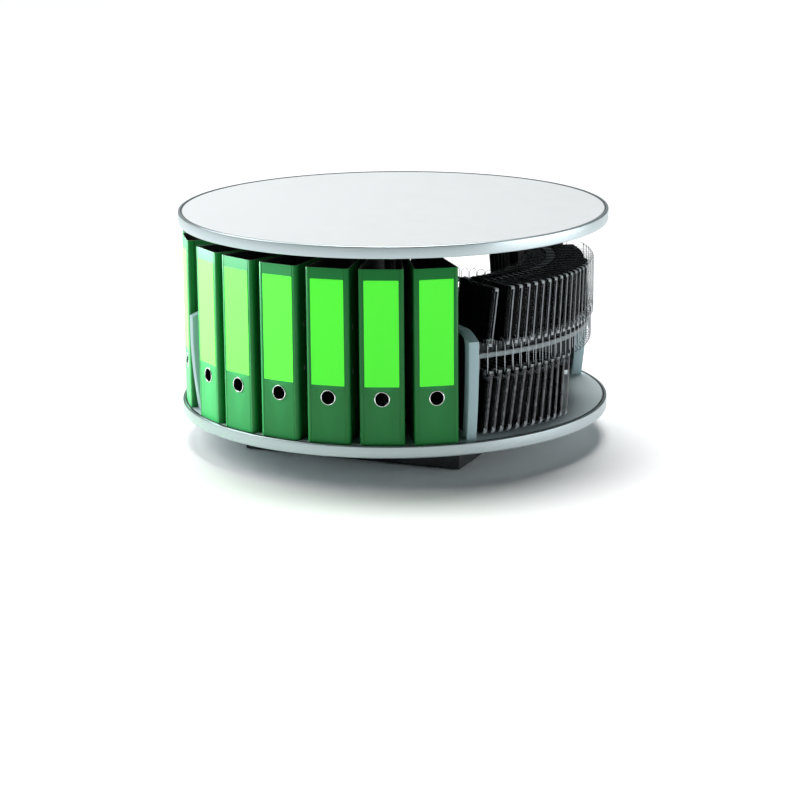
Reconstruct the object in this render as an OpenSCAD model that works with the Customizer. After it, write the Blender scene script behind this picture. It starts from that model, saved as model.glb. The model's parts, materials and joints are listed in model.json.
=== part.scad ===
// Rotary filing cabinet: a round two-panel carousel on a square foot.
// Origin: on the table, under the turning axis. +Z up.
// X and Y run along the sides of the square foot.

/* [Panels] */
// Radius of the two round panels, edging included
disc_r = 405; // [403:1:410]
// Thickness of both panels
panel_t = 22; // [18:1:25]
// Height of the bottom panel's upper face above the table
shelf_z = 80; // [80:1:84]
// Height of the top panel's upper face above the table
top_z = 440; // [438:1:460]
// Radial width of the aluminium edging
band_w = 6.4; // [5:0.2:7]
// Height of the edging's lip above the top panel's board
lip = 1; // [0.4:0.1:1.2]

/* [Foot and turntable] */
// Side of the square foot
foot_side = 430; // [400:5:460]
// Thickness of the foot board
foot_t = 42; // [36:1:42]
// Radius of the ball track
track_r = 150; // [140:1:155]
// Radius of one ball
ball_r = 3; // [2.9:0.05:3]
// Number of balls
ball_n = 28; // [18:1:36]

/* [Column] */
// Outer radius of the column tube
col_r = 30; // [28:1:34]
// Wall of the column tube
col_wall = 3; // [2:0.5:4]
// Radius of the column flanges
flange_r = 85; // [75:1:90]

/* [Dividers] */
// Height of the dividers above the shelf at their crest
div_h = 196; // [186:1:200]
// Width of the divider rim
div_w = 19; // [14:1:19]
// Direction of the first divider, degrees from +X
div_az = -47; // [-50:0.5:-44]

/* [Files] */
// Height of a file
file_h = 318; // [315:1:320]
// Width of a file's spine
file_w = 80; // [74:1:80]
// Angle between neighbouring files
file_pitch = 14.1; // [14:0.05:14.2]
// Radius of the spine's front face
file_r = 396; // [394:1:398]
// Height of the finger hole's centre above the file's foot
finger_z = 84; // [78:1:90]

/* [Disc pockets] */
// Angle between neighbouring hanger loops
loop_pitch = 2.8; // [2.75:0.05:2.9]
// Thickness of a pocket
pocket_t = 7; // [6:0.25:7]
// Outer radius of the pockets
pocket_ro = 378; // [376.5:0.5:380]
// Inner radius of the pockets
pocket_ri = 248; // [244:1:250]
// Top of the upper pockets above the shelf
pocket_top = 270; // [260:1:272]

/* [Hidden] */
$fn = 96;

pad_t = 2;
foot_top = pad_t + foot_t;               // 44
panel_lo = shelf_z - panel_t;            // 58
top_lo = top_z - panel_t;                // 418
race_t = (panel_lo - foot_top - 2) / 2;  // 6
track_z = foot_top + race_t + 1;         // 51
race_ro = track_r + 28;
race_ri = track_r - 30;
race_screw_r = track_r + 18;
panel_r = disc_r - band_w - 0.3;

ring_r_o = 366;                  // radius of the outer rail's centre line
ring_r_i = 262;                  // radius of the inner rail's centre line
rail_z = shelf_z + 147.5;        // height of the rails' centre line
pivot_up = shelf_z + 172;        // top of the loops: upper pockets tilt about it
pivot_lo = shelf_z + 110;        // bottom of the loops: lower pockets tilt about it
loop_w = 8.5;
loop_turn = -32;
first_loop = 3.7;                // first loop past its divider, degrees
loops = 29;

q_pocket = div_az;               // quarter with the pockets
q_rear = div_az + 90;            // open quarter at the back
q_left = div_az + 180;           // back left quarter, files
q_front = div_az + 270;          // front left quarter, files

// leaning of the pockets, degrees from upright towards larger angles
function lean_up(i) = i < 2 ? 7.5 : 6;
function lean_low(i) = 5 + 4.5 * exp(-pow((i - 5) / 4, 2));
function loop_az(q, i) = q + first_loop + (q == q_rear ? 0.6 : 0) + loop_pitch * i;
lean_rear = 6;

module at(az, r = 0, z = 0) { rotate([0, 0, az]) translate([r, 0, z]) children(); }

// ---------- foot and turntable ----------
module base_plate() color([0.07, 0.075, 0.08]) difference() {
  translate([0, 0, pad_t]) union() {
    translate([0, 0, 1.5]) linear_extrude(foot_t - 3) square(foot_side, center = true);
    linear_extrude(foot_t) square(foot_side - 3, center = true);
  }
  for (k = [0:5]) at(k * 60 + 15, race_screw_r) translate([0, 0, foot_top - 16]) cylinder(r = 2.1, h = 20, $fn = 32);
  for (sx = [-1, 1], sy = [-1, 1]) translate([sx * (foot_side / 2 - 28), sy * (foot_side / 2 - 28), -1])
    cylinder(r = 16.1, h = 3 + 1.5, $fn = 48);
}

module foot_pads() color([0.05, 0.05, 0.05])
  for (sx = [-1, 1], sy = [-1, 1]) translate([sx * (foot_side / 2 - 28), sy * (foot_side / 2 - 28), 0])
    cylinder(r = 16, h = 3.5, $fn = 48);

module race(flip) difference() {
  cylinder(r = race_ro, h = race_t, $fn = 128);
  translate([0, 0, -1]) cylinder(r = race_ri, h = race_t + 2, $fn = 128);
  translate([0, 0, race_t + 1]) rotate_extrude($fn = 128) translate([track_r, 0]) circle(r = ball_r + 0.2, $fn = 32);
  for (k = [0:5]) at(k * 60 + 15, race_screw_r) {
    translate([0, 0, -1]) cylinder(r = 2.4, h = race_t + 2, $fn = 32);
    translate([0, 0, race_t - 2.6]) cylinder(r1 = 2.4, r2 = 5.4, h = 2.8, $fn = 32);
  }
}

module screw(len, r = 2, hr = 4.9) union() {
  translate([0, 0, -2.5]) cylinder(r1 = r, r2 = hr, h = 2.5, $fn = 32);
  translate([0, 0, -len]) cylinder(r = r, h = len - 1.2, $fn = 32);
}

module lower_race() color([0.45, 0.46, 0.48]) translate([0, 0, foot_top]) race();
module lower_race_screws() color([0.7, 0.7, 0.72])
  for (k = [0:5]) at(k * 60 + 15, race_screw_r, foot_top + race_t - 0.2) screw(20);

module upper_race() color([0.45, 0.46, 0.48]) translate([0, 0, panel_lo]) mirror([0, 0, 1]) race();
module upper_race_screws() color([0.7, 0.7, 0.72])
  for (k = [0:5]) at(k * 60 + 15, race_screw_r, panel_lo - race_t + 0.2) mirror([0, 0, 1]) screw(20);

module bearing_balls() color([0.8, 0.8, 0.82])
  for (k = [0:ball_n - 1]) at(k * 360 / ball_n, track_r, track_z) sphere(r = ball_r, $fn = 24);

module ball_cage() color([0.78, 0.72, 0.5]) translate([0, 0, track_z - 0.6]) difference() {
  linear_extrude(1.2) difference() { circle(r = track_r + 7, $fn = 128); circle(r = track_r - 7, $fn = 128); }
  for (k = [0:ball_n - 1]) at(k * 360 / ball_n, track_r, -1) cylinder(r = ball_r + 0.12, h = 3.2, $fn = 24);
}

// ---------- panels ----------
module panel(z0, t = panel_t) translate([0, 0, z0]) union() {
  translate([0, 0, 0.8]) cylinder(r = panel_r, h = t - 1.6, $fn = 192);
  cylinder(r = panel_r - 0.8, h = t, $fn = 192);
}
module band(z0) translate([0, 0, z0]) rotate_extrude($fn = 192) polygon([
  [disc_r - band_w, 0], [disc_r - 2, 0], [disc_r - 0.6, 0.6], [disc_r, 2], [disc_r, panel_t - 2],
  [disc_r - 0.6, panel_t - 0.6], [disc_r - 2, panel_t], [disc_r - band_w, panel_t]]);

module divider_feet() for (q = [0:3], r = [141, 379]) at(div_az + 90 * q, r) children();
module flange_holes() for (k = [0:5]) at(k * 60 + 30, flange_r - 18) children();

module bottom_panel() color([0.5, 0.55, 0.57]) difference() {
  panel(panel_lo);
  for (k = [0:5]) at(k * 60 + 15, race_screw_r, panel_lo - 1) cylinder(r = 2.1, h = 16, $fn = 32);
  divider_feet() translate([0, 0, panel_lo - 1]) { cylinder(r = 2.4, h = panel_t + 2, $fn = 32); cylinder(r = 4.6, h = 5, $fn = 32); }
  flange_holes() translate([0, 0, shelf_z - 16]) cylinder(r = 2.1, h = 17, $fn = 32);
}
module bottom_edge_band() color([0.75, 0.78, 0.8]) band(panel_lo);
module top_panel() color([0.92, 0.93, 0.95]) difference() {
  panel(top_lo, panel_t - lip);
  flange_holes() translate([0, 0, top_lo - 1]) cylinder(r = 2.1, h = 17, $fn = 32);
}
module top_edge_band() color([0.75, 0.78, 0.8]) band(top_lo);

// ---------- column ----------
module column_tube() color([0.08, 0.08, 0.09]) translate([0, 0, shelf_z + 6]) difference() {
  cylinder(r = col_r, h = top_lo - shelf_z - 12);
  translate([0, 0, -1]) cylinder(r = col_r - col_wall, h = top_lo - shelf_z - 10);
}
module flange() difference() {
  union() {
    cylinder(r = flange_r, h = 6);
    cylinder(r = col_r - col_wall - 0.05, h = 34);
  }
  translate([0, 0, -1]) cylinder(r = col_r - col_wall - 5, h = 40);
  flange_holes() {
    translate([0, 0, -1]) cylinder(r = 2.4, h = 8, $fn = 32);
    translate([0, 0, 6 - 2.6]) cylinder(r1 = 2.4, r2 = 5.4, h = 2.8, $fn = 32);
  }
}
module column_foot_flange() color([0.08, 0.08, 0.09]) translate([0, 0, shelf_z]) flange();
module column_head_flange() color([0.08, 0.08, 0.09]) translate([0, 0, top_lo]) mirror([0, 0, 1]) flange();
module flange_screws() color([0.7, 0.7, 0.72]) {
  flange_holes() translate([0, 0, shelf_z + 6 - 0.2]) screw(20);
  flange_holes() translate([0, 0, top_lo - 6 + 0.2]) mirror([0, 0, 1]) screw(20);
}

// ---------- dividers ----------
div_ri = 126;
// outer edge: bulges outwards with height; crest: an arch that falls slightly inwards
function div_out(z) = 388 + 13 * sin(90 * min(z, 150) / 150);
function div_top(r) = r > 350 ? div_h - 14 + 14 * sin(90 * (401 - r) / 51)
                              : div_h - 8 * (350 - r) / (350 - div_ri);
div_pts = concat([[div_ri, 0]],
  [for (k = [0:10]) let (z = (div_h - 14) * k / 10) [div_out(z), z]],
  [for (k = [1:8]) let (r = 401 - 51 * k / 8) [r, div_top(r)]],
  [[div_ri, div_top(div_ri)]]);
win_pts = concat([[div_ri + 7, 24], [div_ri + 26, 18], [div_ri + 26, -20]],
  [for (k = [-1:10]) let (z = (div_h - 22) * k / 10) [div_out(max(z, 0)) - 22, z]],
  [for (k = [2:6]) let (r = 388 - 38 * k / 6) [r, div_top(r + 8) - 6]],
  [[div_ri + 7, div_top(div_ri) - 6]]);

module divider(az) at(az, 0, shelf_z) difference() {
  intersection() {
    rotate([90, 0, 0]) union() {
      translate([0, 0, -div_w / 2]) linear_extrude(div_w) difference() { polygon(div_pts); polygon(win_pts); }
      translate([0, 0, -2]) linear_extrude(4) polygon(div_pts);
    }
    translate([0, 0, -1]) linear_extrude(260)
      polygon([[100, -4.2], [300, -div_w / 2], [420, -div_w / 2], [420, div_w / 2], [300, div_w / 2], [100, 4.2]]);
  }
  translate([156, -30, -1]) cube([210, 60, 10]);
  for (r = [141, 379]) translate([r, 0, -1]) cylinder(r = 1.9, h = 15, $fn = 32);
}
module divider_front_right() color([0.62, 0.66, 0.68]) divider(div_az);
module divider_back_right() color([0.62, 0.66, 0.68]) divider(div_az + 90);
module divider_back_left() color([0.62, 0.66, 0.68]) divider(div_az + 180);
module divider_front_left() color([0.62, 0.66, 0.68]) divider(div_az + 270);
module divider_screws() color([0.7, 0.7, 0.72]) divider_feet() translate([0, 0, panel_lo + 0.6]) union() {
  cylinder(r = 4.4, h = 3.2, $fn = 32);
  cylinder(r = 1.8, h = panel_t + 10, $fn = 32);
}

// ---------- rails, brackets and loops ----------
// an arc-shaped bar between two dividers
module arc_bar(r, q) {
  e = asin(3.2 / r);
  at(q + e, 0, rail_z - 4.5) rotate_extrude(angle = 90 - 2 * e, $fn = 192) translate([r - 3, 0]) square([6, 9]);
}
module rail_outer() color([0.66, 0.69, 0.71]) { arc_bar(ring_r_o, q_pocket); arc_bar(ring_r_o, q_rear); }
module rail_inner() color([0.66, 0.69, 0.71]) { arc_bar(ring_r_i, q_pocket); arc_bar(ring_r_i, q_rear); }

// a clip on the divider's web, with a slot that holds the end of a bar
module bracket(r, q, s) at(q + (s > 0 ? 0 : 90)) difference() {
  translate([r - 7, s > 0 ? 2.1 : -11, rail_z - 9]) cube([14, 8.9, 18]);
  translate([0, 0, rail_z - 4.6]) rotate_extrude($fn = 192) translate([r - 3.1, 0]) square([6.2, 9.2]);
}
module rail_brackets() color([0.1, 0.1, 0.11])
  for (q = [q_pocket, q_rear], r = [ring_r_o, ring_r_i], s = [1, -1]) bracket(r, q, s);

module slot2d(w, h) union() {
  square([2 * w, h], center = true);
  translate([0, h / 2]) circle(r = w, $fn = 32);
  translate([0, -h / 2]) circle(r = w, $fn = 32);
}
module loop(r) translate([r, 0, (pivot_up + pivot_lo) / 2]) rotate([0, 0, loop_turn]) rotate([90, 0, 0])
  translate([0, 0, -0.7]) linear_extrude(1.4) difference() {
    slot2d(loop_w + 0.7, pivot_up - pivot_lo - 2 * loop_w);
    slot2d(loop_w - 0.7, pivot_up - pivot_lo - 2 * loop_w);
  }
module hanger_loops() color([0.82, 0.83, 0.84])
  for (q = [q_pocket, q_rear], i = [0:loops - 1]) at(loop_az(q, i)) { loop(ring_r_o); loop(ring_r_i); }

// ---------- disc pockets ----------
nh = 8.6;   // half width of the notches that clear the loops
module pocket_up(nz = 1.2) rotate([90, 0, 0]) translate([0, 0, -pocket_t / 2]) linear_extrude(pocket_t) polygon([
  [pocket_ri, -8], [ring_r_i - nh, -8], [ring_r_i - nh, nz], [ring_r_i + nh, nz], [ring_r_i + nh, -8],
  [ring_r_o - nh, -8], [ring_r_o - nh, nz], [ring_r_o + nh, nz], [ring_r_o + nh, -8],
  [pocket_ro, -8], [pocket_ro, pocket_top - 173.5], [pocket_ro - 1.5, pocket_top - 172],
  [314, pocket_top - 172], [308, pocket_top - 177], [284, pocket_top - 177], [278, pocket_top - 172],
  [pocket_ri + 1.5, pocket_top - 172], [pocket_ri, pocket_top - 173.5]]);

module pocket_low() rotate([90, 0, 0]) union() {
  translate([0, 0, -pocket_t / 2]) linear_extrude(pocket_t) polygon([
    [pocket_ri + 1.5, -108], [pocket_ro - 1.5, -108], [pocket_ro, -106.5],
    [pocket_ro, 9], [pocket_ro - 3, 9], [pocket_ro - 3, -6], [ring_r_o - 12, -6], [ring_r_o - 12, 9],
    [314, 9], [308, 5], [284, 5], [280, 9],
    [ring_r_i + 12, 9], [ring_r_i + 12, -6], [pocket_ri, -6], [pocket_ri, -106.5]]);
  for (r = [ring_r_i, ring_r_o]) translate([r, 0, -0.6]) linear_extrude(1.2) difference() {
    translate([-14, -10]) square([28 - (r > 300 ? 2 : 0), 19]);
    translate([-nh, -4]) square([2 * nh, 10.5]);
  }
}
module up_at(i) at(loop_az(q_pocket, i), 0, pivot_up) rotate([-lean_up(i), 0, 0]) pocket_up();
module low_at(i) at(loop_az(q_pocket, i), 0, pivot_lo) rotate([-lean_low(i), 0, 0]) pocket_low();
module rear_at(i) at(loop_az(q_rear, i), 0, pivot_up) rotate([-lean_rear, 0, 0]) pocket_up(2.6);
ink = [0.05, 0.052, 0.058];
module upper_pocket_1() color(ink) up_at(1);
module upper_pocket_2() color(ink) up_at(3);
module upper_pocket_3() color(ink) up_at(4);
module upper_pockets_rest() color(ink) for (i = [5:loops - 1]) up_at(i);
module lower_pockets_rest() color(ink) for (i = [1:9]) low_at(i);
module lower_pocket_10() color(ink) low_at(10);
module lower_pocket_11() color(ink) low_at(11);
module lower_pocket_12() color(ink) low_at(12);
module rear_pocket_1() color(ink) rear_at(5);
module rear_pocket_2() color(ink) rear_at(4);
module rear_pockets_rest() color(ink) for (i = [0:3]) rear_at(i);

// ---------- files ----------
fw = file_w / 2;
fi = 113;      // radius of the fore edge
fe = 13;       // half thickness at the fore edge
bt = 2.4;      // board thickness
gap = 0.3;
function half_at(x) = fe + (fw - fe) * (x - fi) / (file_r - 4 - fi);
function file_az(n) = (n <= 6 ? q_front + 45 - file_pitch * 2.5 + file_pitch * (n - 1)
                              : q_left + 45 + file_pitch * 2.5 - file_pitch * (n - 7));
module file_cover(n) color([0.1, 0.42, 0.2]) at(file_az(n), 0, shelf_z + gap) difference() {
  linear_extrude(file_h) polygon([
    [fi, -fe], [file_r - 4, -fw], [file_r - 1.2, -fw + 1.2], [file_r, -fw + 4],
    [file_r, fw - 4], [file_r - 1.2, fw - 1.2], [file_r - 4, fw], [fi, fe],
    [fi, fe - bt], [file_r - 6, fw - bt - 0.4], [file_r - bt, fw - 6],
    [file_r - bt, -fw + 6], [file_r - 6, -fw + bt + 0.4], [fi, -fe + bt]]);
  translate([file_r - 10, 0, finger_z]) rotate([0, 90, 0]) cylinder(r = 12.6, h = 20, $fn = 64);
}
// lever-arch mechanism on the inner face of the board on the smaller-angle side
module lever_arch(n) color([0.75, 0.76, 0.78]) at(file_az(n), 0, shelf_z + gap)
  translate([fi, -fe + bt, 0]) rotate([0, 0, -atan((fw - fe) / (file_r - 4 - fi))]) translate([0, 0.3, 0]) {
    x0 = 214;    // along the board, from the fore edge
    zc = 169;    // half way between the two rings
    translate([x0, 0, zc - 72]) cube([44, 1.4, 144]);
    translate([x0 + 4, 1.3, zc - 56]) cube([8, 7, 112]);
    for (s = [-1, 1]) translate([0, 0, zc + 40 * s]) {
      translate([x0 + 36, 1.3, 0]) rotate([-90, 0, 0]) cylinder(r = 2.2, h = 36, $fn = 24);
      translate([x0 + 8, 8.2, 0]) rotate([-90, 0, 0]) cylinder(r = 2.2, h = 29.2, $fn = 24);
      translate([x0 + 22, 36.2, 0]) rotate_extrude(angle = 180, $fn = 64) translate([14, 0]) circle(r = 1.7, $fn = 24);
    }
    translate([x0 + 16, 1.3, zc - 6]) cube([10, 4, 12]);
    translate([x0 + 12, 5.2, zc - 70]) cube([12, 1.6, 76]);
  }

base_plate();
foot_pads();
lower_race();
lower_race_screws();
bearing_balls();
ball_cage();
upper_race();
upper_race_screws();
bottom_panel();
bottom_edge_band();
top_panel();
top_edge_band();
column_tube();
column_foot_flange();
column_head_flange();
flange_screws();
divider_front_right();
divider_back_right();
divider_back_left();
divider_front_left();
divider_screws();
rail_outer();
rail_inner();
rail_brackets();
hanger_loops();
upper_pockets_rest();
lower_pockets_rest();
rear_pockets_rest();
upper_pocket_1();
upper_pocket_2();
upper_pocket_3();
lower_pocket_10();
lower_pocket_11();
lower_pocket_12();
rear_pocket_1();
rear_pocket_2();
file_cover(1);  // file_1_cover
file_cover(2);  // file_2_cover
file_cover(3);  // file_3_cover
file_cover(4);  // file_4_cover
file_cover(5);  // file_5_cover
file_cover(6);  // file_6_cover
file_cover(7);  // file_7_cover
file_cover(8);  // file_8_cover
file_cover(9);  // file_9_cover
file_cover(10);  // file_10_cover
file_cover(11);  // file_11_cover
file_cover(12);  // file_12_cover
lever_arch(1);  // file_1_lever_arch
lever_arch(2);  // file_2_lever_arch
lever_arch(3);  // file_3_lever_arch
lever_arch(4);  // file_4_lever_arch
lever_arch(5);  // file_5_lever_arch
lever_arch(6);  // file_6_lever_arch
lever_arch(7);  // file_7_lever_arch
lever_arch(8);  // file_8_lever_arch
lever_arch(9);  // file_9_lever_arch
lever_arch(10);  // file_10_lever_arch
lever_arch(11);  // file_11_lever_arch
lever_arch(12);  // file_12_lever_arch
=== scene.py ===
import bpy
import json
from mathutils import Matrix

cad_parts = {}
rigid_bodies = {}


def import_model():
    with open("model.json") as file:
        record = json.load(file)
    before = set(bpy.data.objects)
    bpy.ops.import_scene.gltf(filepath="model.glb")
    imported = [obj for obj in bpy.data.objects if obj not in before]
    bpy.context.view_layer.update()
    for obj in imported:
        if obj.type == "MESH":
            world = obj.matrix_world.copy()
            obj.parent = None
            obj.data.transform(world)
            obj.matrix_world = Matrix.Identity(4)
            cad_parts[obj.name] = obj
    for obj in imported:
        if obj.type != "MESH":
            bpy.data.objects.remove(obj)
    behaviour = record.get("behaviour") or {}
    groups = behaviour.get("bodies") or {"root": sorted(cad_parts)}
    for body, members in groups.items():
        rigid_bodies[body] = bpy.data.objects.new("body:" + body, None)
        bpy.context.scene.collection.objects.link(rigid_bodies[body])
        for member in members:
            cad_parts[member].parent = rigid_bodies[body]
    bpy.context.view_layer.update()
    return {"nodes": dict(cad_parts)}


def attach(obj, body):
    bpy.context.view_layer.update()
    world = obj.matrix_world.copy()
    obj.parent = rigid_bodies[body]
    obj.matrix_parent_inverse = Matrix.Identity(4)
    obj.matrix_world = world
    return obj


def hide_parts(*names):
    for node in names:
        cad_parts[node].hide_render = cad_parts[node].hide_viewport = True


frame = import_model()

import bpy
import json
import math
import numpy as np
from mathutils import Matrix, Vector

scene = bpy.context.scene
mm = 0.001

# ------------------------------------------------------------------ sizes, as in the CAD source (mm)
SHELF, TOP, TOP_LO, PANEL_LO = 80.0, 440.0, 418.0, 58.0
DISC_R, BAND_W, LIP = 405.0, 6.4, 1.0
DIV_AZ, DIV_H, DIV_W, DIV_RI = -47.0, 196.0, 19.0, 126.0
FILE_H, FILE_W, PITCH, FILE_R, FORE_R, FORE_HALF, BOARD = 318.0, 80.0, 14.1, 396.0, 113.0, 13.0, 2.4
FOOT_Z = SHELF + 0.3
FINGER_Z = 84.0
RING_O, RING_I = 366.0, 262.0
PIVOT_UP, PIVOT_LO = SHELF + 172.0, SHELF + 110.0
Q_POCKET, Q_REAR, Q_LEFT, Q_FRONT = DIV_AZ, DIV_AZ + 90, DIV_AZ + 180, DIV_AZ + 270


def loop_az(q, i):
    return q + 3.7 + (0.6 if q == Q_REAR else 0.0) + 2.8 * i


def file_az(n):
    return Q_FRONT + 45 - PITCH * 2.5 + PITCH * (n - 1) if n <= 6 else Q_LEFT + 45 + PITCH * 2.5 - PITCH * (n - 7)


# ------------------------------------------------------------------ mesh helpers
class Build:
    """Gathers vertices, faces and a material number for each face."""

    def __init__(self):
        self.v, self.f, self.m = [], [], []
        self.n = 0

    def add(self, shape, mat=0, xf=None):
        v, f = np.asarray(shape[0], float), shape[1]
        fm = shape[2] if len(shape) > 2 else None
        if xf is not None:
            a = np.array(xf, float)
            v = v @ a[:3, :3].T + a[:3, 3]
        self.v.append(v)
        self.f.extend([tuple(i + self.n for i in face) for face in f])
        if fm is None:
            self.m.extend([mat] * len(f))
        elif isinstance(mat, (list, tuple)):
            self.m.extend([mat[k] for k in fm])
        else:
            self.m.extend(fm)
        self.n += len(v)
        return self

    def shape(self):
        return np.vstack(self.v), list(self.f), list(self.m)

    def mesh(self, name, mats, smooth=35):
        me = bpy.data.meshes.new(name)
        me.from_pydata((np.vstack(self.v) * mm).tolist(), [], self.f)
        for m in mats:
            me.materials.append(m)
        me.polygons.foreach_set("material_index", np.array(self.m, np.int32))
        me.polygons.foreach_set("use_smooth", np.ones(len(me.polygons), bool))
        me.update()
        if smooth:
            me.set_sharp_from_angle(angle=math.radians(smooth))
        return me


def place(name, mesh, body, replaces=(), matrix=None):
    o = bpy.data.objects.new(name, mesh)
    scene.collection.objects.link(o)
    if matrix is not None:
        o.matrix_world = matrix
    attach(o, body)
    if replaces:
        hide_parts(*replaces)
    return o


def RZ(deg):
    return Matrix.Rotation(math.radians(deg), 4, "Z")


def RX(deg):
    return Matrix.Rotation(math.radians(deg), 4, "X")


def RY(deg):
    return Matrix.Rotation(math.radians(deg), 4, "Y")


def T(x, y, z):
    return Matrix.Translation((x, y, z))


def round_poly(points, radii, seg=5):
    """A polygon with its corners rounded. radii is one number or one for each corner."""
    n = len(points)
    if not hasattr(radii, "__len__"):
        radii = [radii] * n
    out = []
    for k in range(n):
        p, a, b = (np.array(points[k], float), np.array(points[k - 1], float), np.array(points[(k + 1) % n], float))
        r = radii[k]
        u, w = a - p, b - p
        lu, lw = np.linalg.norm(u), np.linalg.norm(w)
        u, w = u / lu, w / lw
        c = float(np.clip(u @ w, -1, 1))
        ang = math.acos(c)
        if r <= 0 or ang > math.pi - 0.02:
            out.append(p)
            continue
        d = min(r / math.tan(ang / 2), 0.49 * lu, 0.49 * lw)
        rr = d * math.tan(ang / 2)
        mid = (u + w) / np.linalg.norm(u + w)
        centre = p + mid * (rr / math.sin(ang / 2))
        s, e = p + u * d, p + w * d
        a0 = math.atan2(*(s - centre)[::-1])
        a1 = math.atan2(*(e - centre)[::-1])
        da = (a1 - a0 + math.pi) % (2 * math.pi) - math.pi
        for j in range(seg + 1):
            t = a0 + da * j / seg
            out.append(centre + rr * np.array([math.cos(t), math.sin(t)]))
    return np.array(out)


def area2(poly):
    x, y = poly[:, 0], poly[:, 1]
    return float((x * np.roll(y, -1) - y * np.roll(x, -1)).sum() / 2)


def inset(poly, d):
    """The polygon (counter-clockwise) moved inwards by d."""
    prev, nxt = np.roll(poly, 1, 0), np.roll(poly, -1, 0)
    e1, e2 = poly - prev, nxt - poly
    e1 /= np.maximum(np.linalg.norm(e1, axis=1, keepdims=True), 1e-9)
    e2 /= np.maximum(np.linalg.norm(e2, axis=1, keepdims=True), 1e-9)
    n1, n2 = np.stack([-e1[:, 1], e1[:, 0]], 1), np.stack([-e2[:, 1], e2[:, 0]], 1)
    b = n1 + n2
    b /= np.maximum(np.linalg.norm(b, axis=1, keepdims=True), 1e-9)
    c = np.maximum((b * n1).sum(1, keepdims=True), 0.35)
    return poly + b * d / c


def prism(poly, h0, h1, bevel=0.0, seg=2, plane="xy"):
    """A polygon pulled from h0 to h1 with softened rims. Face marks: 0 end faces, 1 rims and sides."""
    poly = np.asarray(poly, float)
    if area2(poly) < 0:
        poly = poly[::-1]
    rings = []
    if bevel > 0:
        for j in range(seg + 1):
            t = math.pi / 2 * j / seg
            rings.append((bevel * (1 - math.sin(t)), h0 + bevel * (1 - math.cos(t))))
        for j in range(seg + 1):
            t = math.pi / 2 * (1 - j / seg)
            rings.append((bevel * (1 - math.sin(t)), h1 - bevel * (1 - math.cos(t))))
    else:
        rings = [(0.0, h0), (0.0, h1)]
    v = []
    for d, h in rings:
        q = inset(poly, d) if d > 1e-9 else poly
        v.append(np.column_stack([q, np.full(len(q), h)]))
    n = len(poly)
    f = [tuple(range(n - 1, -1, -1)), tuple(range((len(rings) - 1) * n, len(rings) * n))]
    fm = [0, 0]
    for r in range(len(rings) - 1):
        for k in range(n):
            a, b = r * n + k, r * n + (k + 1) % n
            f.append((a, b, b + n, a + n))
            fm.append(1)
    v = np.vstack(v)
    if plane == "xz":      # polygon in x and z, pulled along -y to y: keeps faces outwards
        v = np.column_stack([v[:, 0], -v[:, 2], v[:, 1]])
    elif plane == "yz":    # polygon in y and z, pulled along x
        v = np.column_stack([v[:, 2], v[:, 0], v[:, 1]])
    return v, f, fm


def rbox(x0, x1, y0, y1, z0, z1, r=0.5, seg=2, rz=None):
    """A box with rounded upright edges and softened rims."""
    p = round_poly([(x0, y0), (x1, y0), (x1, y1), (x0, y1)], rz if rz is not None else r, 4)
    v, f, fm = prism(p, z0, z1, r, seg)
    return v, f


def lathe(profile, seg=96, closed=True):
    """A closed profile of (r, z) points turned about Z."""
    p = np.asarray(profile, float)
    n = len(p)
    t = np.arange(seg) * 2 * math.pi / seg
    v = np.concatenate([np.column_stack([p[:, 0] * math.cos(a), p[:, 0] * math.sin(a), p[:, 1]]) for a in t])
    f = []
    last = n if closed else n - 1
    sign = area2(p) > 0
    for s in range(seg):
        a0, b0 = s * n, ((s + 1) % seg) * n
        for k in range(last):
            k1 = (k + 1) % n
            q = (a0 + k, b0 + k, b0 + k1, a0 + k1)
            f.append(q if sign else q[::-1])
    return v, f


def tube(path, r, n=8, closed=False, caps=True):
    """A round bar along the points of path."""
    p = np.asarray(path, float)
    m = len(p)
    if closed:
        tan = np.roll(p, -1, 0) - np.roll(p, 1, 0)
    else:
        tan = np.gradient(p, axis=0)
    tan /= np.linalg.norm(tan, axis=1, keepdims=True)
    ref = np.array([0.0, 0.0, 1.0])
    if abs(tan[0] @ ref) > 0.9:
        ref = np.array([1.0, 0.0, 0.0])
    u = np.cross(tan[0], ref)
    u /= np.linalg.norm(u)
    us = [u]
    for k in range(1, m):
        w = us[-1] - tan[k] * (us[-1] @ tan[k])
        us.append(w / np.linalg.norm(w))
    us = np.array(us)
    if closed:      # the frame comes round to where it began
        w = us[-1] - tan[0] * (us[-1] @ tan[0])
        w /= np.linalg.norm(w)
        twist = math.atan2(np.cross(w, us[0]) @ tan[0], w @ us[0])
        for k in range(m):
            a = twist * k / m
            b = np.cross(tan[k], us[k])
            us[k] = us[k] * math.cos(a) + b * math.sin(a)
    ws = np.cross(tan, us)
    rr = np.full(m, r) if not hasattr(r, "__len__") else np.asarray(r, float)
    v = []
    for k in range(m):
        for j in range(n):
            a = 2 * math.pi * j / n
            v.append(p[k] + rr[k] * (us[k] * math.cos(a) + ws[k] * math.sin(a)))
    f = []
    for k in range(m if closed else m - 1):
        for j in range(n):
            a, b = k * n + j, ((k + 1) % m) * n + j
            a1, b1 = k * n + (j + 1) % n, ((k + 1) % m) * n + (j + 1) % n
            f.append((a, a1, b1, b))
    if caps and not closed:
        f.append(tuple(range(n - 1, -1, -1)))
        f.append(tuple((m - 1) * n + j for j in range(n)))
    return np.array(v), f


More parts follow.
